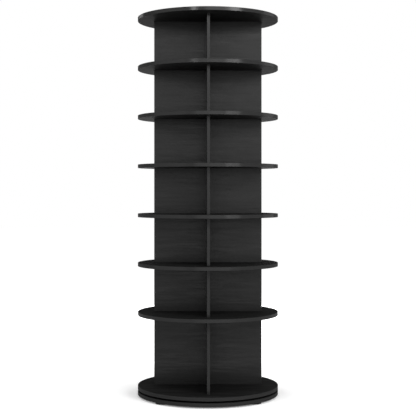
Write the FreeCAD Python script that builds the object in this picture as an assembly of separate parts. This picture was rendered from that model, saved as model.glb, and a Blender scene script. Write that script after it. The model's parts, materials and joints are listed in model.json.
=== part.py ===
import FreeCAD, Part
import math
import os

from FreeCAD import Placement, Rotation, Vector

# Rotating shoe tower: seven tiers of four compartments that turn together on a base.
# Millimetres, +Z up. The origin is on the floor, on the axis that the tower turns about.
# The wide panels run along X. The front half panels point to -Y, the rear ones to +Y.
# Tiers and shelf discs are numbered from the bottom.

# Round boards
BOARD_RADIUS = 300.0            # core board, without its edge band
BOARD_THICKNESS = 15.0          # top, shelf and bottom discs
BASE_THICKNESS = 15.0           # base disc

# Upright panels
PANEL_THICKNESS = 12.0
PANEL_REACH = 230.0             # axis to the outer upright edge, without its edge band
UPPER_PANEL_HEIGHT = 195.0
BOTTOM_PANEL_HEIGHT = 300.0
UPPER_TIERS = 6

# Edge bands, glued round the boards and on the outer upright panel edges
DISC_BAND_THICKNESS = 1.0
PANEL_BAND_THICKNESS = 1.0
BAND_EDGE_RADIUS = 0.5
GLUE_LINE = 0.02                # between a round board and its band

# Clearances
FIT = 0.05                      # radial, round a pin, screw, bolt or cam in its hole
END_GAP = 0.5                   # beyond the blind end of a pin, screw or bolt

# Wooden dowels
DOWEL_RADIUS = 3.0
DOWEL_CHAMFER = 0.8
DOWEL_DEPTH = 15.0              # into the edge of a panel
END_DOWEL_DEPTH = 9.0           # into the top or bottom disc, which it doesn't pass
INNER_DOWEL_OFFSET = 54.0       # from the face of the wide panel
OUTER_DOWEL_INSET = 30.0        # from the outer upright edge
CROSS_DOWEL_DEPTH = 14.0        # into each half panel, through the wide one
CROSS_DOWEL_INSET = 50.0        # from the panel's top or bottom edge

# Cam bolts, which stand in the discs, and the cams in the panels that grip their balls
BOLT_INSET = 90.0               # from the outer upright edge
BOLT_RADIUS = 3.0               # shank, and the ball at its end
BOLT_NECK_RADIUS = 1.75
BOLT_THREAD_RADIUS = 2.5
BOLT_THREAD_DEPTH = 10.0        # into the top or bottom disc
CAM_RADIUS = 6.0
CAM_DISTANCE = 24.0             # disc face to cam centre
CAM_THROW = 0.6                 # chamber radius beyond the ball's
CAM_FLOOR = 2.5                 # panel left behind the cam
CAM_NECK_GAP = 0.25             # round the bolt's neck in the cam's slot
CAM_SLOT_ANGLE = 150.0          # degrees from the bolt to the hole that lets its ball in

# Cross recesses of the cams and screws
RECESS_SHARE = 0.6              # arm length as a share of the head's radius
RECESS_WIDTH = 1.2
RECESS_DEPTH = 1.0

# Turntable bearing, between the base disc and the bottom disc
BEARING_HEIGHT = 8.0
RING_LIFT = 0.8                 # running gap over the fixed ring and under the turning ring
RING_WIDTH = 18.4
RING_GAP = 1.2                  # radial, between the rings
BALL_CIRCLE_RADIUS = 131.0
BALL_RADIUS = 2.0
BALL_COUNT = 24
RACE_CLEARANCE = 0.05
CAGE_THICKNESS = 0.6
CAGE_RIM = 0.6                  # over and under each ball window
CAGE_FIT = 0.1                  # round a ball in its window

# Countersunk screws of the bearing rings
RING_SCREWS = 8                 # in each ring
RING_SCREW_RADIUS = 1.75
RING_SCREW_HEAD_RADIUS = 3.4
RING_SCREW_SINK = 0.1           # head below the face of the ring
RING_SCREW_BITE = 9.0           # into the board
RING_SCREW_TIP = 3.0

# Feet under the base disc, and the screw through each
FOOT_RADIUS = 27.5
FOOT_HEIGHT = 7.0
FOOT_INSET = 2.5                # foot's rim in from the core board's rim
FOOT_EDGE_RADIUS = 1.0
FOOT_SCREW_RADIUS = 2.0
FOOT_SCREW_HEAD_RADIUS = 4.5
FOOT_SCREW_HEAD_HEIGHT = 2.6
FOOT_SCREW_HEAD_CHAMFER = 0.7
FOOT_SCREW_SINK = 0.9           # head above the foot's sole
FOOT_SCREW_BITE = 10.0          # into the board
FOOT_SCREW_TIP = 3.0
FOOT_RECESS_GAP = 2.0           # round the screw's head

# The four arms of a tier: their directions, and the sides that their cams open to,
# in degrees about Z
ARM_ANGLES = {"right": 0.0, "rear": 90.0, "left": 180.0, "front": 270.0}
CAM_SIDE_ANGLES = {"right": 90.0, "rear": 0.0, "left": 90.0, "front": 0.0}
FOOT_ANGLES = {
    "foot_rear_right": 45.0,
    "foot_rear_left": 135.0,
    "foot_front_left": 225.0,
    "foot_front_right": 315.0,
}

# Heights, from the floor up
base_top = FOOT_HEIGHT + BASE_THICKNESS
bearing_middle = base_top + BEARING_HEIGHT / 2
tower_bottom = base_top + BEARING_HEIGHT
panel_heights = [BOTTOM_PANEL_HEIGHT] + [UPPER_PANEL_HEIGHT] * UPPER_TIERS
tier_floors = [tower_bottom + BOARD_THICKNESS]
for panel_height in panel_heights[:-1]:
    tier_floors.append(tier_floors[-1] + panel_height + BOARD_THICKNESS)
tier_roofs = [floor + height for floor, height in zip(tier_floors, panel_heights)]
tiers = range(len(panel_heights))

# Places along an arm, from the axis
panel_face = PANEL_THICKNESS / 2
dowel_reaches = [panel_face + INNER_DOWEL_OFFSET, PANEL_REACH - OUTER_DOWEL_INSET]
bolt_reach = PANEL_REACH - BOLT_INSET

# Cams: the ball is drawn towards the disc until it bears on the chamber's wall
cam_depth = PANEL_THICKNESS - CAM_FLOOR
cam_chamber_radius = BOLT_RADIUS + CAM_THROW
ball_distance = CAM_DISTANCE - CAM_THROW + FIT
cross_dowel_length = PANEL_THICKNESS + 2 * CROSS_DOWEL_DEPTH

# Bearing: the fixed ring is outside the turning one
ring_height = BEARING_HEIGHT - RING_LIFT
fixed_ring_bore = BALL_CIRCLE_RADIUS + RING_GAP / 2
turning_ring_rim = BALL_CIRCLE_RADIUS - RING_GAP / 2
fixed_screw_circle = fixed_ring_bore + RING_WIDTH / 2
turning_screw_circle = turning_ring_rim - RING_WIDTH / 2
foot_circle = BOARD_RADIUS - FOOT_INSET - FOOT_RADIUS
foot_recess_depth = FOOT_SCREW_SINK + FOOT_SCREW_HEAD_HEIGHT

ORIGIN = Vector(0, 0, 0)
UP = Vector(0, 0, 1)
DOWN = Vector(0, 0, -1)
ALONG_Y = Vector(0, 1, 0)
UPRIGHT_TO_Y = Rotation(Vector(1, 0, 0), -90)
UPSIDE_DOWN = Rotation(Vector(1, 0, 0), 180)


def at_polar(radius, angle, height=0.0):
    """The point at a distance from the axis, an angle in degrees and a height."""
    turn = math.radians(angle)
    return Vector(radius * math.cos(turn), radius * math.sin(turn), height)


def evenly_round(count, start=0.0):
    """Angles of evenly spaced places round the axis."""
    return [start + 360.0 * place / count for place in range(count)]


def moved(shape, point=ORIGIN, rotation=Rotation()):
    """A copy of a shape, turned about the origin and then carried to a point."""
    copy = shape.copy()
    copy.Placement = Placement(point, rotation).multiply(shape.Placement)
    return copy


def turned_profile(corners):
    """A solid of revolution about Z, from (radius, height) corners that end on the axis."""
    points = [Vector(radius, 0, height) for radius, height in corners]
    outline = Part.makePolygon(points + [points[0]])
    return Part.Face(outline).revolve(ORIGIN, UP, 360)


def round_board(bottom, thickness, radius=BOARD_RADIUS):
    return Part.makeCylinder(radius, thickness, Vector(0, 0, bottom))


def pin_hole(mouth, inwards, depth, radius):
    """A cutter for the blind hole of a pin that goes in to a depth."""
    return Part.makeCylinder(radius + FIT, depth + END_GAP, mouth, inwards)


def cross_recess(head_radius):
    """A cutter for the cross in a head whose face is at height 0, facing up."""
    length = 2 * head_radius * RECESS_SHARE
    arm = Part.makeBox(length, RECESS_WIDTH, 2 * RECESS_DEPTH)
    arm.translate(Vector(-length / 2, -RECESS_WIDTH / 2, -RECESS_DEPTH))
    return arm.fuse(moved(arm, ORIGIN, Rotation(UP, 90)))


# Round boards and their edge bands

def shelf_disc(bottom):
    """A disc between two tiers, whose dowels and bolts pass right through it."""
    pins = [(reach, DOWEL_RADIUS) for reach in dowel_reaches] + [(bolt_reach, BOLT_RADIUS)]
    holes = [
        Part.makeCylinder(radius + FIT, BOARD_THICKNESS, at_polar(reach, angle, bottom))
        for reach, radius in pins
        for angle in ARM_ANGLES.values()
    ]
    return round_board(bottom, BOARD_THICKNESS).cut(holes)


def end_disc(bottom, panel_side, inwards):
    """The top or bottom disc, with blind holes in the side that the panels meet."""
    pins = [(reach, DOWEL_RADIUS, END_DOWEL_DEPTH) for reach in dowel_reaches]
    pins += [(bolt_reach, BOLT_THREAD_RADIUS, BOLT_THREAD_DEPTH)]
    holes = [
        pin_hole(at_polar(reach, angle, panel_side), inwards, depth, radius)
        for reach, radius, depth in pins
        for angle in ARM_ANGLES.values()
    ]
    return round_board(bottom, BOARD_THICKNESS).cut(holes)


def bottom_disc():
    """The tower's lowest disc, with the turning ring's screws in its underside."""
    screw_holes = [
        pin_hole(at_polar(turning_screw_circle, angle, tower_bottom), UP,
                 RING_SCREW_BITE, RING_SCREW_RADIUS)
        for angle in turning_screw_angles()
    ]
    return end_disc(tower_bottom, tier_floors[0], DOWN).cut(screw_holes)


def base_disc():
    """The disc that stays still, with the fixed ring's screws above and the feet's below."""
    holes = [
        pin_hole(at_polar(fixed_screw_circle, angle, base_top), DOWN,
                 RING_SCREW_BITE, RING_SCREW_RADIUS)
        for angle in fixed_screw_angles()
    ]
    holes += [
        pin_hole(at_polar(foot_circle, angle, FOOT_HEIGHT), UP,
                 FOOT_SCREW_BITE, FOOT_SCREW_RADIUS)
        for angle in FOOT_ANGLES.values()
    ]
    return round_board(FOOT_HEIGHT, BASE_THICKNESS).cut(holes)


def disc_band(bottom, thickness):
    """The band round a board's rim, its two outer edges rounded."""
    body = round_board(bottom, thickness, BOARD_RADIUS + DISC_BAND_THICKNESS)
    rims = [edge for edge in body.Edges if isinstance(edge.Curve, Part.Circle)]
    body = body.makeFillet(BAND_EDGE_RADIUS, rims)
    return body.cut(round_board(bottom, thickness, BOARD_RADIUS + GLUE_LINE))


# Upright panels and their edge bands

def arm_cutters(tier, arm):
    """Dowel holes, bolt holes and cam pockets at the bottom and top edges of one arm."""
    angle = ARM_ANGLES[arm]
    side = at_polar(1, CAM_SIDE_ANGLES[arm])
    cutters = []
    for edge_height, inwards in ((tier_floors[tier], UP), (tier_roofs[tier], DOWN)):
        for reach in dowel_reaches:
            mouth = at_polar(reach, angle, edge_height)
            cutters.append(pin_hole(mouth, inwards, DOWEL_DEPTH, DOWEL_RADIUS))
        mouth = at_polar(bolt_reach, angle, edge_height)
        cutters.append(pin_hole(mouth, inwards, ball_distance + BOLT_RADIUS, BOLT_RADIUS))
        pocket_floor = mouth + inwards * CAM_DISTANCE + side * (panel_face - cam_depth)
        cutters.append(
            Part.makeCylinder(CAM_RADIUS + FIT, cam_depth + END_GAP, pocket_floor, side))
    return cutters


def cross_dowel_heights(tier):
    return [tier_floors[tier] + CROSS_DOWEL_INSET, tier_roofs[tier] - CROSS_DOWEL_INSET]


def cross_dowel_holes(tier):
    """Cutters along Y, through the wide panel and into both half panels."""
    length = cross_dowel_length + 2 * END_GAP
    return [
        Part.makeCylinder(DOWEL_RADIUS + FIT, length, Vector(0, -length / 2, height), ALONG_Y)
        for height in cross_dowel_heights(tier)
    ]


def wide_panel(tier):
    """The panel along X, through the axis."""
    panel = Part.makeBox(2 * PANEL_REACH, PANEL_THICKNESS, panel_heights[tier])
    panel.translate(Vector(-PANEL_REACH, -panel_face, tier_floors[tier]))
    cutters = arm_cutters(tier, "right") + arm_cutters(tier, "left")
    return panel.cut(cutters + cross_dowel_holes(tier))


def half_panel(tier, arm):
    """The front or rear panel, from the wide panel's face outwards."""
    panel = Part.makeBox(PANEL_REACH - panel_face, PANEL_THICKNESS, panel_heights[tier])
    panel.translate(Vector(panel_face, -panel_face, tier_floors[tier]))
    panel = moved(panel, ORIGIN, Rotation(UP, ARM_ANGLES[arm]))
    return panel.cut(arm_cutters(tier, arm) + cross_dowel_holes(tier))


def panel_band(tier, arm):
    """The strip on an arm's outer upright edge, its two outer edges rounded."""
    strip = Part.makeBox(PANEL_BAND_THICKNESS, PANEL_THICKNESS, panel_heights[tier])
    outer_edges = [
        edge for edge in strip.Edges
        if edge.CenterOfMass.x > PANEL_BAND_THICKNESS / 2 and abs(edge.tangentAt(0).z) > 0.5
    ]
    strip = strip.makeFillet(BAND_EDGE_RADIUS, outer_edges)
    strip.translate(Vector(PANEL_REACH, -panel_face, tier_floors[tier]))
    return moved(strip, ORIGIN, Rotation(UP, ARM_ANGLES[arm]))


# Dowels, cam bolts and cams

def dowel(length):
    """An upright dowel with chamfered ends, standing on height 0."""
    end_radius = DOWEL_RADIUS - DOWEL_CHAMFER
    return turned_profile([
        (0, 0),
        (end_radius, 0),
        (DOWEL_RADIUS, DOWEL_CHAMFER),
        (DOWEL_RADIUS, length - DOWEL_CHAMFER),
        (end_radius, length),
        (0, length),
    ])


def disc_dowels():
    """Dowels between panels and discs: whole through the shelf discs, shorter at the ends."""
    end_dowel = dowel(END_DOWEL_DEPTH + DOWEL_DEPTH)
    shelf_dowel = dowel(DOWEL_DEPTH + BOARD_THICKNESS + DOWEL_DEPTH)
    stands = [(end_dowel, tier_floors[0] - END_DOWEL_DEPTH)]
    stands += [(shelf_dowel, roof - DOWEL_DEPTH) for roof in tier_roofs[:-1]]
    stands += [(end_dowel, tier_roofs[-1] - DOWEL_DEPTH)]
    return [
        moved(pin, at_polar(reach, angle, bottom))
        for pin, bottom in stands
        for reach in dowel_reaches
        for angle in ARM_ANGLES.values()
    ]


def cross_dowels():
    """Dowels along Y that join the half panels through the wide panel."""
    pin = dowel(cross_dowel_length)
    return [
        moved(pin, Vector(0, -cross_dowel_length / 2, height), UPRIGHT_TO_Y)
        for tier in tiers
        for height in cross_dowel_heights(tier)
    ]


def bolt_end():
    """Shank, neck and ball of a cam bolt that stands on a disc's face at height 0."""
    shank = Part.makeCylinder(BOLT_RADIUS, CAM_DISTANCE - CAM_RADIUS - END_GAP)
    neck = Part.makeCylinder(BOLT_NECK_RADIUS, ball_distance)
    ball = Part.makeSphere(BOLT_RADIUS, Vector(0, 0, ball_distance))
    return shank.fuse([neck, ball])


def connecting_bolts():
    """Double-ended bolts through the shelf discs, one for each arm."""
    upper_end = bolt_end()
    lower_end = moved(upper_end, Vector(0, 0, -BOARD_THICKNESS), UPSIDE_DOWN)
    middle = Part.makeCylinder(BOLT_RADIUS, BOARD_THICKNESS, ORIGIN, DOWN)
    bolt = middle.fuse([upper_end, lower_end]).removeSplitter()
    return [
        moved(bolt, at_polar(bolt_reach, angle, floor))
        for floor in tier_floors[1:]
        for angle in ARM_ANGLES.values()
    ]


def end_bolts():
    """Single-ended bolts screwed into the bottom and top discs, one for each arm."""
    thread = Part.makeCylinder(BOLT_THREAD_RADIUS, BOLT_THREAD_DEPTH, ORIGIN, DOWN)
    bolt = bolt_end().fuse(thread).removeSplitter()
    bolts = []
    for angle in ARM_ANGLES.values():
        bolts.append(moved(bolt, at_polar(bolt_reach, angle, tier_floors[0])))
        bolts.append(moved(bolt, at_polar(bolt_reach, angle, tier_roofs[-1]), UPSIDE_DOWN))
    return bolts


def cam():
    """A cam centred on the origin: its face looks to +Y and its bolt comes from below."""
    outside = CAM_RADIUS + END_GAP
    body = Part.makeCylinder(CAM_RADIUS, cam_depth, Vector(0, 0, panel_face - cam_depth))
    chamber_half = BOLT_RADIUS + FIT
    chamber = Part.makeCylinder(cam_chamber_radius, 2 * chamber_half, Vector(0, 0, -chamber_half))
    slot_half = BOLT_NECK_RADIUS + CAM_NECK_GAP
    slot = Part.makeCylinder(
        outside, 2 * slot_half, Vector(0, 0, -slot_half), UP, CAM_SLOT_ANGLE)
    slot = moved(slot, ORIGIN, Rotation(UP, 90))
    recess = moved(cross_recess(CAM_RADIUS), Vector(0, 0, panel_face))
    lying = body.cut([chamber, slot, recess])
    standing = moved(lying, ORIGIN, UPRIGHT_TO_Y)
    slot_start = Part.makeCylinder(slot_half, outside, ORIGIN, DOWN)
    ball_entry = Part.makeCylinder(BOLT_RADIUS + CAM_NECK_GAP, outside, ORIGIN, DOWN)
    ball_entry = moved(ball_entry, ORIGIN, Rotation(ALONG_Y, CAM_SLOT_ANGLE))
    return standing.cut([slot_start, ball_entry])


def cam_locks():
    """A cam for every bolt end, at the bottom and top of every arm of every tier."""
    one_cam = cam()
    cams = []
    for tier in tiers:
        for arm, angle in ARM_ANGLES.items():
            lower = Rotation(UP, CAM_SIDE_ANGLES[arm] - 90)
            upper = lower.multiply(Rotation(ALONG_Y, 180))
            lower_place = at_polar(bolt_reach, angle, tier_floors[tier] + CAM_DISTANCE)
            upper_place = at_polar(bolt_reach, angle, tier_roofs[tier] - CAM_DISTANCE)
            cams.append(moved(one_cam, lower_place, lower))
            cams.append(moved(one_cam, upper_place, upper))
    return cams


# Turntable bearing

def fixed_screw_angles():
    return evenly_round(RING_SCREWS, 180.0 / RING_SCREWS)


def turning_screw_angles():
    return evenly_round(RING_SCREWS)


def ring_screw():
    """A countersunk screw, point down, in a ring whose screwed face is at height 0."""
    point = -ring_height - RING_SCREW_BITE
    screw = turned_profile([
        (0, -RING_SCREW_SINK),
        (RING_SCREW_HEAD_RADIUS, -RING_SCREW_SINK),
        (RING_SCREW_RADIUS, countersink_end()),
        (RING_SCREW_RADIUS, point + RING_SCREW_TIP),
        (0, point),
    ])
    return screw.cut(moved(cross_recess(RING_SCREW_HEAD_RADIUS), Vector(0, 0, -RING_SCREW_SINK)))


def countersink_end():
    """Height at which a ring screw's head has narrowed to its shank, at 45 degrees."""
    return -RING_SCREW_SINK - (RING_SCREW_HEAD_RADIUS - RING_SCREW_RADIUS)


def ring_screw_hole():
    """The cutter for the hole and countersink of a ring screw."""
    return turned_profile([
        (0, 0),
        (RING_SCREW_HEAD_RADIUS + FIT, 0),
        (RING_SCREW_HEAD_RADIUS + FIT, -RING_SCREW_SINK),
        (RING_SCREW_RADIUS + FIT, countersink_end()),
        (RING_SCREW_RADIUS + FIT, -ring_height),
        (0, -ring_height),
    ])


def fixed_ring_places():
    """Point and rotation of each screw in the fixed ring: heads up, on its top face."""
    return [
        (at_polar(fixed_screw_circle, angle, base_top + ring_height), Rotation())
        for angle in fixed_screw_angles()
    ]


def turning_ring_places():
    """Point and rotation of each screw in the turning ring: heads down, on its bottom face."""
    return [
        (at_polar(turning_screw_circle, angle, tower_bottom - ring_height), UPSIDE_DOWN)
        for angle in turning_screw_angles()
    ]


def bearing_ring(bottom, bore_radius, rim_radius, screw_places):
    """A flat ring with half of the ball race turned in it and its screw holes."""
    ring = round_board(bottom, ring_height, rim_radius)
    bore = round_board(bottom, ring_height, bore_radius)
    race = Part.makeTorus(
        BALL_CIRCLE_RADIUS, BALL_RADIUS + RACE_CLEARANCE, Vector(0, 0, bearing_middle))
    hole = ring_screw_hole()
    holes = [moved(hole, point, rotation) for point, rotation in screw_places]
    return ring.cut([bore, race] + holes)


def ring_screws(screw_places):
    screw = ring_screw()
    return [moved(screw, point, rotation) for point, rotation in screw_places]


def bearing_balls():
    ball = Part.makeSphere(BALL_RADIUS)
    return [
        moved(ball, at_polar(BALL_CIRCLE_RADIUS, angle, bearing_middle))
        for angle in evenly_round(BALL_COUNT)
    ]


def ball_cage():
    """A thin ring between the races, with a round window for each ball."""
    height = 2 * (BALL_RADIUS + CAGE_FIT + CAGE_RIM)
    bottom = bearing_middle - height / 2
    inner_radius = BALL_CIRCLE_RADIUS - CAGE_THICKNESS / 2
    ring = round_board(bottom, height, inner_radius + CAGE_THICKNESS)
    bore = round_board(bottom, height, inner_radius)
    windows = [
        Part.makeCylinder(
            BALL_RADIUS + CAGE_FIT, 2 * CAGE_THICKNESS,
            at_polar(BALL_CIRCLE_RADIUS - CAGE_THICKNESS, angle, bearing_middle),
            at_polar(1, angle))
        for angle in evenly_round(BALL_COUNT)
    ]
    return ring.cut([bore] + windows)


# Feet

def foot():
    """A round pad on the floor, rounded at its sole, with a recess for its screw."""
    pad = Part.makeCylinder(FOOT_RADIUS, FOOT_HEIGHT)
    sole_rim = [
        edge for edge in pad.Edges
        if isinstance(edge.Curve, Part.Circle) and edge.CenterOfMass.z < FOOT_HEIGHT / 2
    ]
    pad = pad.makeFillet(FOOT_EDGE_RADIUS, sole_rim)
    recess = Part.makeCylinder(FOOT_SCREW_HEAD_RADIUS + FOOT_RECESS_GAP, foot_recess_depth)
    screw_hole = Part.makeCylinder(FOOT_SCREW_RADIUS + FIT, FOOT_HEIGHT)
    return pad.cut([recess, screw_hole])


def foot_screw():
    """A pan head screw, point up, whose head seats on the roof of the foot's recess."""
    point = FOOT_HEIGHT + FOOT_SCREW_BITE
    screw = turned_profile([
        (0, FOOT_SCREW_SINK),
        (FOOT_SCREW_HEAD_RADIUS - FOOT_SCREW_HEAD_CHAMFER, FOOT_SCREW_SINK),
        (FOOT_SCREW_HEAD_RADIUS, FOOT_SCREW_SINK + FOOT_SCREW_HEAD_CHAMFER),
        (FOOT_SCREW_HEAD_RADIUS, foot_recess_depth),
        (FOOT_SCREW_RADIUS, foot_recess_depth),
        (FOOT_SCREW_RADIUS, point - FOOT_SCREW_TIP),
        (0, point),
    ])
    recess = cross_recess(FOOT_SCREW_HEAD_RADIUS)
    return screw.cut(moved(recess, Vector(0, 0, FOOT_SCREW_SINK), UPSIDE_DOWN))


def foot_places():
    return {name: at_polar(foot_circle, angle) for name, angle in FOOT_ANGLES.items()}


# The whole tower

def sub_parts():
    """Every sub-part by name: one solid, or a list of the separate solids of a group."""
    parts = {
        "top_disc": end_disc(tier_roofs[-1], tier_roofs[-1], UP),
        "top_disc_band": disc_band(tier_roofs[-1], BOARD_THICKNESS),
        "bottom_disc": bottom_disc(),
        "bottom_disc_band": disc_band(tower_bottom, BOARD_THICKNESS),
        "base_disc": base_disc(),
        "base_disc_band": disc_band(FOOT_HEIGHT, BASE_THICKNESS),
    }
    for number, roof in enumerate(tier_roofs[:-1], start=1):
        parts[f"shelf_disc_{number}"] = shelf_disc(roof)
        parts[f"shelf_disc_{number}_band"] = disc_band(roof, BOARD_THICKNESS)
    for tier in tiers:
        parts[f"wide_panel_{tier + 1}"] = wide_panel(tier)
        parts[f"front_panel_{tier + 1}"] = half_panel(tier, "front")
        parts[f"rear_panel_{tier + 1}"] = half_panel(tier, "rear")
    parts["panel_bands"] = [panel_band(tier, arm) for tier in tiers for arm in ARM_ANGLES]
    parts["disc_dowels"] = disc_dowels()
    parts["cross_dowels"] = cross_dowels()
    parts["connecting_bolts"] = connecting_bolts()
    parts["end_bolts"] = end_bolts()
    parts["cam_locks"] = cam_locks()
    parts["bearing_fixed_ring"] = bearing_ring(
        base_top, fixed_ring_bore, fixed_ring_bore + RING_WIDTH, fixed_ring_places())
    parts["bearing_turning_ring"] = bearing_ring(
        tower_bottom - ring_height, turning_ring_rim - RING_WIDTH, turning_ring_rim,
        turning_ring_places())
    parts["bearing_balls"] = bearing_balls()
    parts["ball_cage"] = ball_cage()
    parts["fixed_ring_screws"] = ring_screws(fixed_ring_places())
    parts["turning_ring_screws"] = ring_screws(turning_ring_places())
    for name, place in foot_places().items():
        parts[name] = moved(foot(), place)
    parts["foot_screws"] = [moved(foot_screw(), place) for place in foot_places().values()]
    return parts


os.makedirs("parts", exist_ok=True)
for part_name, part_shape in sub_parts().items():
    if isinstance(part_shape, list):
        part_shape = Part.makeCompound(part_shape)
    part_shape.exportStep(f"parts/{part_name}.step")
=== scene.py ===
import json
import math

import bpy
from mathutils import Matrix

# Looks of the rotating shoe tower: materials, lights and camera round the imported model.
# Metres, +Z up. The floor is at height 0 and the tower's axis is at the origin.

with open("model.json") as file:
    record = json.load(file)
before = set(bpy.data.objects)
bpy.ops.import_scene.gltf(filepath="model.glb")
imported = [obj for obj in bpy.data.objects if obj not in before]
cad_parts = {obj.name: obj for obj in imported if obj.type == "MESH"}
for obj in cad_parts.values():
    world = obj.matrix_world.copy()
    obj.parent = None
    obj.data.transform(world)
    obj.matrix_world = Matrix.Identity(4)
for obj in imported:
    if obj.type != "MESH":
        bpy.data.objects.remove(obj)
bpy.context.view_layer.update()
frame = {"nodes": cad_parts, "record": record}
record = frame["record"]
nodes = frame["nodes"]

UPRIGHT = math.radians(90)      # tilts a camera or a lamp from facing down to facing level

# Camera, level and almost square to the wide panels
FOCAL_PIXELS = 1045.6           # focal length in pixels of a 416 pixel frame
FRAME_PIXELS = 416.0
SENSOR_MM = 36.0
HORIZON_ROW = 191.12
AXIS_COLUMN = 207.9
CAMERA_DISTANCE = 4.504
CAMERA_HEIGHT = 0.876
CAMERA_TURN = math.radians(-0.6)

# Floor: white where it is seen, but for a soft shadow that is partly painted, and dark where it
# would only light the tower
FLOOR_SIZE = 40.0
FLOOR_WHITE = (0.8, 0.8, 0.8)
FLOOR_UNSEEN = (0.08, 0.08, 0.08)
FLOOR_ROUGHNESS = 0.9
FLOOR_GLOW_NEAR = 0.25          # lower round the tower, a painted soft shadow; the lamps add the rest and their real shadow
FLOOR_GLOW_FAR = 1.0
PAINTED_SHADOW_NEAR, PAINTED_SHADOW_FAR = 0.3, 1.3
FLOOR_PAINTED_SHADOW_RADII = 0.26, 0.31       # radii over which the glow fades away under the base, a painted contact shadow
PAINTED_SHADOW_SHAPE = (0.9, 1.7, 1.0)   # the painted soft shadow is wider to the sides than to the front
PAINTED_SHADOW_CENTRE = (0.0, 0.09, 0.0)  # and lies a little behind the tower
AMBIENT = 0.02                  # light of the white world where it isn't seen

# Softboxes stand in a ring round the tower, at azimuths from the front towards its right
STUDIO_RADIUS = 3.6
SOFTBOXES = {
    # name: (azimuths in degrees, heights, radiance)
    "front_low": ((-20, 35), (0.0, 1.0), 1.0),
    "front_middle": ((-20, 35), (1.0, 1.95), 1.5),
    "front_right": ((2, 22), (0.7, 1.95), 0.6),
    "front_high": ((-5, 55), (1.95, 3.0), 4.3),
    "key": ((27, 50), (0.6, 2.4), 4.1),
    "key_top": ((34, 50), (1.9, 2.6), 11.5),
    "strip_left": ((-26, -18), (1.9, 2.6), 20.0),
    "side_left": ((-95, -35), (0.0, 3.0), 0.75),
    "rim_right": ((97, 130), (0.5, 2.6), 2.1),
    "rim_left": ((-147, -129), (2.0, 2.5), 6.5),
}
SOFTBOX_STEP = 20               # degrees that one flat panel of a softbox may span

# Fill from behind, in the same terms, and from above. It stays out of the gloss, where the
# white surroundings are seen.
BACK_FILL = ((110, 265), (0.2, 2.2), 3.0)
TOP_FILL_HEIGHT, TOP_FILL_SIZE, TOP_FILL_RADIANCE = 3.4, 1.6, 3.4

# Grain frequencies per metre: low along the grain, high across it
FIBRE_ALONG, FIBRE_ACROSS = 7.0, 120.0
PORE_ALONG, PORE_ACROSS = 30.0, 900.0
GRAIN_ALONG_X = (
    (FIBRE_ALONG, FIBRE_ACROSS, FIBRE_ACROSS),
    (PORE_ALONG, PORE_ACROSS, PORE_ACROSS))
GRAIN_ALONG_Y = (
    (FIBRE_ACROSS, FIBRE_ALONG, FIBRE_ACROSS),
    (PORE_ACROSS, PORE_ALONG, PORE_ACROSS))
FIGURE_STRETCH = 7              # how many times larger than the fibres the slow figure is

# How the noises are read: from none of a feature to all of it
NOISE_LOW, NOISE_HIGH = 0.3, 0.7
FIBRE_LOW, FIBRE_HIGH = 0.32, 0.70
PIT_LOW, PIT_HIGH = 0.57, 0.68

# Black boards: tones and gloss
PANEL_DARK = (0.0086, 0.0086, 0.0085)
PANEL_LIGHT = (0.0176, 0.0176, 0.0175)
# Darker tones of the upper discs: painted shade that keeps their undersides dark, as the boards
# are all one melamine
DISC_PAINTED_SHADE_DARK = (0.0070, 0.0070, 0.0069)
DISC_PAINTED_SHADE_LIGHT = (0.0140, 0.0140, 0.0139)
FIGURE_FAINTEST = 0.7           # share of the fibres' tone that the figure always leaves
PIT_TONE = 0.3                  # tone that a full pit takes away
MEAN_TONE = 0.42
BOLD_CONTRAST = 2.2             # of the lowest boards' grain, on both sides of the mean tone
BOLD_BELOW, PLAIN_ABOVE = 0.55, 0.85  # heights between which the contrast falls to plain
PANEL_ROUGHNESS, PANEL_SPECULAR = 0.27, 0.14
DISC_ROUGHNESS = 0.5
UPPER_DISC_SPECULAR, LOWER_DISC_SPECULAR = 0.0098, 0.007
SATIN_DULLER, SATIN_GLOSSIER = 0.08, 0.06  # roughness change of the darkest and lightest grain
UPWARD_FROM, UPWARD_FULLY = 0.5, 0.9  # Z of the normal as a face comes to count as upward

# Bump of each kind of surface: strength, and depth in metres
WOODGRAIN_BUMP = 0.2, 0.0002
PLASTIC_BUMP = 0.15, 0.0002
METAL_BUMP = 0.1, 0.00005
BEECH_BUMP = 0.3, 0.0002

# Plastics: tones, gloss, and size of the texture's grain in metres
BAND_DARK = (0.0195, 0.0195, 0.0194)
BAND_LIGHT = (0.023, 0.023, 0.0229)
BAND_ROUGHNESS, BAND_SPECULAR, BAND_TEXTURE = 0.5, 0.0, 0.0012
COAT_WEIGHT, COAT_ROUGHNESS, COAT_IOR = 0.071, 0.18, 2.2
FOOT_DARK = (0.014, 0.014, 0.014)
FOOT_LIGHT = (0.022, 0.022, 0.022)
FOOT_ROUGHNESS, FOOT_SPECULAR, FOOT_TEXTURE = 0.6, 0.2, 0.0008
NYLON_DARK = (0.60, 0.60, 0.56)
NYLON_LIGHT = (0.70, 0.70, 0.66)
NYLON_ROUGHNESS, NYLON_SPECULAR, NYLON_TEXTURE = 0.5, 0.5, 0.0008
SMEAR_SCALE = (9.0, 9.0, 30.0)
SMEAR_ROUGHNESS = 0.05          # how far smears change the roughness either way

# Metals
ZINC_DARK = (0.42, 0.42, 0.43)
ZINC_LIGHT = (0.62, 0.62, 0.63)
ZINC_ROUGHNESS = 0.38
RING_DARK = (0.60, 0.60, 0.61)
RING_LIGHT = (0.76, 0.76, 0.77)
RING_ROUGHNESS = 0.3
SCRATCH_SCALE = (400.0, 2500.0, 900.0)
SCRATCH_ROUGHNESS = 0.08        # how far scratches change the roughness either way

# Beech of the dowels
BEECH_DARK = (0.46, 0.30, 0.17)
BEECH_LIGHT = (0.66, 0.49, 0.31)
BEECH_ROUGHNESS = 0.75
BEECH_SCALE = (900.0, 900.0, 40.0)


# Nodes

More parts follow.
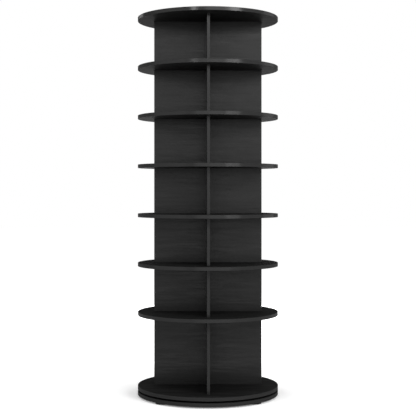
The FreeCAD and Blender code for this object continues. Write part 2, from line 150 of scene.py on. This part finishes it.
def material(name):
    """A node material with its tree and its principled shader."""
    made = bpy.data.materials.new(name)
    made.use_nodes = True
    return made, made.node_tree, made.node_tree.nodes["Principled BSDF"]


def add(tree, kind, **settings):
    """A new node, with its attributes set by name."""
    node = tree.nodes.new(kind)
    for name, value in settings.items():
        setattr(node, name, value)
    return node


def link(tree, source, target):
    tree.links.new(source, target)


def object_point(tree):
    return add(tree, "ShaderNodeTexCoord").outputs["Object"]


def stretched(tree, point, scale, centre=(0.0, 0.0, 0.0)):
    """The point measured from a centre and scaled along each axis."""
    mapping = add(tree, "ShaderNodeMapping")
    mapping.inputs["Scale"].default_value = scale
    mapping.inputs["Location"].default_value = [-s * c for s, c in zip(scale, centre)]
    link(tree, point, mapping.inputs["Vector"])
    return mapping.outputs["Vector"]


def distance(tree, point):
    node = add(tree, "ShaderNodeVectorMath", operation="LENGTH")
    link(tree, point, node.inputs[0])
    return node.outputs["Value"]


def height_of(tree, vector):
    """The Z component of a point or a normal."""
    parts = add(tree, "ShaderNodeSeparateXYZ")
    link(tree, vector, parts.inputs["Vector"])
    return parts.outputs["Z"]


def noise(tree, point, detail, roughness=0.6, distortion=0.0):
    node = add(tree, "ShaderNodeTexNoise")
    node.inputs["Scale"].default_value = 1.0
    node.inputs["Detail"].default_value = detail
    node.inputs["Roughness"].default_value = roughness
    node.inputs["Distortion"].default_value = distortion
    link(tree, point, node.inputs["Vector"])
    return node.outputs["Fac"]


def ramp(tree, value, low, high, out_low=0.0, out_high=1.0):
    """Maps value from low..high to out_low..out_high, clamped."""
    node = add(tree, "ShaderNodeMapRange", clamp=True)
    node.inputs["From Min"].default_value = low
    node.inputs["From Max"].default_value = high
    node.inputs["To Min"].default_value = out_low
    node.inputs["To Max"].default_value = out_high
    link(tree, value, node.inputs["Value"])
    return node.outputs["Result"]


def combine(tree, operation, first, second):
    """A sum, product or the like of two values, each a number or an output."""
    node = add(tree, "ShaderNodeMath", operation=operation)
    for socket, value in zip(node.inputs, (first, second)):
        if isinstance(value, (int, float)):
            socket.default_value = value
        else:
            link(tree, value, socket)
    return node.outputs["Value"]


def shade(tree, factor, dark, light):
    """A colour between two, by a factor."""
    node = add(tree, "ShaderNodeMix", data_type="RGBA")
    colours = [socket for socket in node.inputs if socket.type == "RGBA"]
    for socket, colour in zip(colours, (dark, light)):
        socket.default_value = (*colour, 1.0)
    link(tree, factor, node.inputs["Factor"])
    return [socket for socket in node.outputs if socket.type == "RGBA"][0]


def bump(tree, shader, height, strength, depth):
    node = add(tree, "ShaderNodeBump")
    node.inputs["Strength"].default_value = strength
    node.inputs["Distance"].default_value = depth
    link(tree, height, node.inputs["Height"])
    link(tree, node.outputs["Normal"], shader.inputs["Normal"])


def seen_directly(tree):
    """1 for rays that show the surroundings: from the camera, a gloss or a glass."""
    path = add(tree, "ShaderNodeLightPath")
    seen = combine(tree, "MAXIMUM", path.outputs["Is Camera Ray"], path.outputs["Is Glossy Ray"])
    return combine(tree, "MAXIMUM", seen, path.outputs["Is Transmission Ray"])


# Finishes

def bolder(tree, point, tone):
    """The tone with more contrast on the lowest boards, whose figure is bolder."""
    strength = ramp(
        tree, height_of(tree, point), BOLD_BELOW, PLAIN_ABOVE, BOLD_CONTRAST, 1.0)
    swing = combine(tree, "MULTIPLY", combine(tree, "SUBTRACT", tone, MEAN_TONE), strength)
    return combine(tree, "ADD", swing, MEAN_TONE)


def woodgrain(name, scales, colours, roughness, specular):
    """Black melamine with an embossed grain, at frequencies per metre along each axis."""
    made, tree, shader = material(name)
    fibre_scale, pore_scale = scales
    figure_scale = [f / FIGURE_STRETCH for f in fibre_scale]
    point = object_point(tree)
    fibres = noise(tree, stretched(tree, point, fibre_scale), detail=6.0, roughness=0.62,
                   distortion=0.25)
    pores = noise(tree, stretched(tree, point, pore_scale), detail=3.0, roughness=0.55)
    figure = noise(tree, stretched(tree, point, figure_scale), detail=2.0)
    grain = ramp(tree, fibres, FIBRE_LOW, FIBRE_HIGH)
    pits = ramp(tree, pores, PIT_LOW, PIT_HIGH)
    tone = combine(tree, "MULTIPLY", grain,
                   ramp(tree, figure, NOISE_LOW, NOISE_HIGH, FIGURE_FAINTEST, 1.0))
    tone = combine(tree, "SUBTRACT", tone, combine(tree, "MULTIPLY", pits, PIT_TONE))
    tone = bolder(tree, point, tone)
    link(tree, shade(tree, tone, *colours), shader.inputs["Base Color"])
    satin = ramp(tree, tone, 0.0, 1.0, roughness + SATIN_DULLER, roughness - SATIN_GLOSSIER)
    # Faces that look up are scuffed matt
    normal = add(tree, "ShaderNodeNewGeometry").outputs["Normal"]
    scuffed = ramp(tree, height_of(tree, normal), UPWARD_FROM, UPWARD_FULLY,
                   0.0, 1.0 - roughness)
    link(tree, combine(tree, "ADD", satin, scuffed), shader.inputs["Roughness"])
    shader.inputs["Specular IOR Level"].default_value = specular
    bump(tree, shader, combine(tree, "SUBTRACT", grain, pits), *WOODGRAIN_BUMP)
    return made


def plastic(name, colours, roughness, specular, texture_size, coat=0.0):
    """Moulded or extruded plastic with a fine even texture."""
    made, tree, shader = material(name)
    point = object_point(tree)
    frequency = 1.0 / texture_size
    texture = noise(tree, stretched(tree, point, (frequency,) * 3), detail=3.0)
    smears = noise(tree, stretched(tree, point, SMEAR_SCALE), detail=3.0)
    link(tree, shade(tree, smears, *colours), shader.inputs["Base Color"])
    link(tree, ramp(tree, smears, NOISE_LOW, NOISE_HIGH,
                    roughness - SMEAR_ROUGHNESS, roughness + SMEAR_ROUGHNESS),
         shader.inputs["Roughness"])
    shader.inputs["Specular IOR Level"].default_value = specular
    shader.inputs["Coat Weight"].default_value = coat
    shader.inputs["Coat Roughness"].default_value = COAT_ROUGHNESS
    shader.inputs["Coat IOR"].default_value = COAT_IOR
    bump(tree, shader, texture, *PLASTIC_BUMP)
    return made


def metal(name, colours, roughness):
    """Plated or turned metal with fine scratches."""
    made, tree, shader = material(name)
    scratches = noise(tree, stretched(tree, object_point(tree), SCRATCH_SCALE), detail=4.0)
    link(tree, shade(tree, scratches, *colours), shader.inputs["Base Color"])
    link(tree, ramp(tree, scratches, NOISE_LOW, NOISE_HIGH,
                    roughness - SCRATCH_ROUGHNESS, roughness + SCRATCH_ROUGHNESS),
         shader.inputs["Roughness"])
    shader.inputs["Metallic"].default_value = 1.0
    bump(tree, shader, scratches, *METAL_BUMP)
    return made


def raw_beech(name):
    """Unfinished beech, with its fibres along the upright dowels."""
    made, tree, shader = material(name)
    fibres = noise(tree, stretched(tree, object_point(tree), BEECH_SCALE), detail=5.0)
    link(tree, shade(tree, fibres, BEECH_DARK, BEECH_LIGHT), shader.inputs["Base Color"])
    shader.inputs["Roughness"].default_value = BEECH_ROUGHNESS
    bump(tree, shader, fibres, *BEECH_BUMP)
    return made


panel_colours = (PANEL_DARK, PANEL_LIGHT)
painted_shade_disc_colours = (DISC_PAINTED_SHADE_DARK, DISC_PAINTED_SHADE_LIGHT)
wide_panel_wood = woodgrain(
    "black_woodgrain_wide", GRAIN_ALONG_X, panel_colours, PANEL_ROUGHNESS, PANEL_SPECULAR)
half_panel_wood = woodgrain(
    "black_woodgrain_half", GRAIN_ALONG_Y, panel_colours, PANEL_ROUGHNESS, PANEL_SPECULAR)
# The upper discs: the panels' woodgrain in darker tones, painted shade for their undersides
upper_disc_wood_painted_shade = woodgrain(
    "black_woodgrain_upper_disc_painted_shade", GRAIN_ALONG_X, painted_shade_disc_colours, DISC_ROUGHNESS, UPPER_DISC_SPECULAR)
# The lower discs keep the panels' tones, with less gloss
lower_disc_wood = woodgrain(
    "black_woodgrain_lower_disc", GRAIN_ALONG_X, panel_colours, DISC_ROUGHNESS,
    LOWER_DISC_SPECULAR)
edge_band = plastic(
    "black_edge_band", (BAND_DARK, BAND_LIGHT), BAND_ROUGHNESS, BAND_SPECULAR, BAND_TEXTURE,
    coat=COAT_WEIGHT)
foot_plastic = plastic(
    "black_foot_plastic", (FOOT_DARK, FOOT_LIGHT), FOOT_ROUGHNESS, FOOT_SPECULAR, FOOT_TEXTURE)
cage_plastic = plastic(
    "nylon", (NYLON_DARK, NYLON_LIGHT), NYLON_ROUGHNESS, NYLON_SPECULAR, NYLON_TEXTURE)
zinc_steel = metal("zinc_steel", (ZINC_DARK, ZINC_LIGHT), ZINC_ROUGHNESS)
ring_aluminium = metal("ring_aluminium", (RING_DARK, RING_LIGHT), RING_ROUGHNESS)
dowel_wood = raw_beech("raw_beech")

BY_SLOT = {
    "black_woodgrain": upper_disc_wood_painted_shade,
    "edge_band": edge_band,
    "dowel_wood": dowel_wood,
    "zinc_steel": zinc_steel,
    "ring_aluminium": ring_aluminium,
    "cage_plastic": cage_plastic,
    "foot_plastic": foot_plastic,
}
# The lower discs keep the panels' tones; the other discs take the darker tones of painted shade
LOWER_DISCS = ("base_disc", "bottom_disc", "shelf_disc_1", "shelf_disc_2", "shelf_disc_3")
for subpart in record["subparts"]:
    name = subpart["node"]
    finish = BY_SLOT[subpart["material_slot"]]
    if name.startswith("wide_panel"):
        finish = wide_panel_wood
    if name.startswith(("front_panel", "rear_panel")):
        finish = half_panel_wood
    if name in LOWER_DISCS:
        finish = lower_disc_wood
    nodes[name].data.materials.clear()
    nodes[name].data.materials.append(finish)


# Floor, world and lights

def white_floor():
    """A floor that is evenly white where it is seen, but for the tower's soft shadow, which the
    lamps cast in part and which is partly painted into the glow.
    """
    bpy.ops.mesh.primitive_plane_add(size=FLOOR_SIZE, location=(0, 0, 0))
    floor = bpy.context.object
    floor.name = "floor"
    made, tree, shader = material("white_floor")
    seen = seen_directly(tree)
    link(tree, shade(tree, seen, FLOOR_UNSEEN, FLOOR_WHITE), shader.inputs["Base Color"])
    shader.inputs["Roughness"].default_value = FLOOR_ROUGHNESS
    shader.inputs["Specular IOR Level"].default_value = 0.0
    shader.inputs["Emission Color"].default_value = (1.0, 1.0, 1.0, 1.0)
    point = object_point(tree)
    # Painted shadow: the glow is lower round the tower, in a patch wider to the sides and a
    # little behind it
    glow_with_painted_shadow = ramp(tree, distance(tree, stretched(tree, point, PAINTED_SHADOW_SHAPE, PAINTED_SHADOW_CENTRE)),
                PAINTED_SHADOW_NEAR, PAINTED_SHADOW_FAR, FLOOR_GLOW_NEAR, FLOOR_GLOW_FAR)
    # and fades to none under the base, a painted contact shadow
    glow_with_painted_shadow = combine(tree, "MULTIPLY", glow_with_painted_shadow, ramp(tree, distance(tree, point), *FLOOR_PAINTED_SHADOW_RADII))
    link(tree, combine(tree, "MULTIPLY", seen, glow_with_painted_shadow), shader.inputs["Emission Strength"])
    floor.data.materials.append(made)


def white_world():
    """A world that is white where it is seen, and dim where it lights."""
    world = bpy.data.worlds.new("studio")
    world.use_nodes = True
    tree = world.node_tree
    background = tree.nodes["Background"]
    background.inputs["Color"].default_value = (1.0, 1.0, 1.0, 1.0)
    strength = ramp(tree, seen_directly(tree), 0.0, 1.0, AMBIENT, 1.0)
    link(tree, strength, background.inputs["Strength"])
    bpy.context.scene.world = world


def lamp(name, location, rotation, width, height, radiance, reflected=True):
    """A flat rectangular area light of even radiance."""
    data = bpy.data.lights.new(name, "AREA")
    data.shape = "RECTANGLE"
    data.size = width
    data.size_y = height
    data.energy = radiance * math.pi * width * height
    seat = bpy.data.objects.new(name, data)
    seat.location = location
    seat.rotation_euler = rotation
    seat.visible_camera = False
    seat.visible_glossy = reflected
    bpy.context.scene.collection.objects.link(seat)


def softbox(name, azimuths, heights, radiance, reflected=True):
    """A curved softbox that faces the axis, built of upright flat lamps."""
    first, last = map(math.radians, azimuths)
    low, high = heights
    count = math.ceil((azimuths[1] - azimuths[0]) / SOFTBOX_STEP)
    span = (last - first) / count
    for index in range(count):
        turn = first + (index + 0.5) * span
        location = (
            STUDIO_RADIUS * math.sin(turn),
            -STUDIO_RADIUS * math.cos(turn),
            (low + high) / 2,
        )
        lamp(name, location, (UPRIGHT, 0, turn),
             2 * STUDIO_RADIUS * math.tan(span / 2), high - low, radiance, reflected)


white_floor()
white_world()
for name, (azimuths, heights, radiance) in SOFTBOXES.items():
    softbox(name, azimuths, heights, radiance)
softbox("fill_back", *BACK_FILL, reflected=False)
lamp("fill_top", (0, 0, TOP_FILL_HEIGHT), (0, 0, 0), TOP_FILL_SIZE, TOP_FILL_SIZE,
     TOP_FILL_RADIANCE, reflected=False)


# Camera

def camera():
    """The photo's camera: its lens, its place, and the frame shifted to its horizon and axis."""
    data = bpy.data.cameras.new("camera")
    data.sensor_width = SENSOR_MM
    data.lens = FOCAL_PIXELS / FRAME_PIXELS * SENSOR_MM
    data.shift_x = (FRAME_PIXELS / 2 - AXIS_COLUMN) / FRAME_PIXELS
    data.shift_y = (HORIZON_ROW - FRAME_PIXELS / 2) / FRAME_PIXELS
    seat = bpy.data.objects.new("camera", data)
    seat.location = (
        CAMERA_DISTANCE * math.sin(CAMERA_TURN),
        -CAMERA_DISTANCE * math.cos(CAMERA_TURN),
        CAMERA_HEIGHT,
    )
    seat.rotation_euler = (UPRIGHT, 0, CAMERA_TURN)
    bpy.context.scene.collection.objects.link(seat)
    bpy.context.scene.camera = seat


camera()
bpy.context.scene.view_settings.view_transform = "Standard"
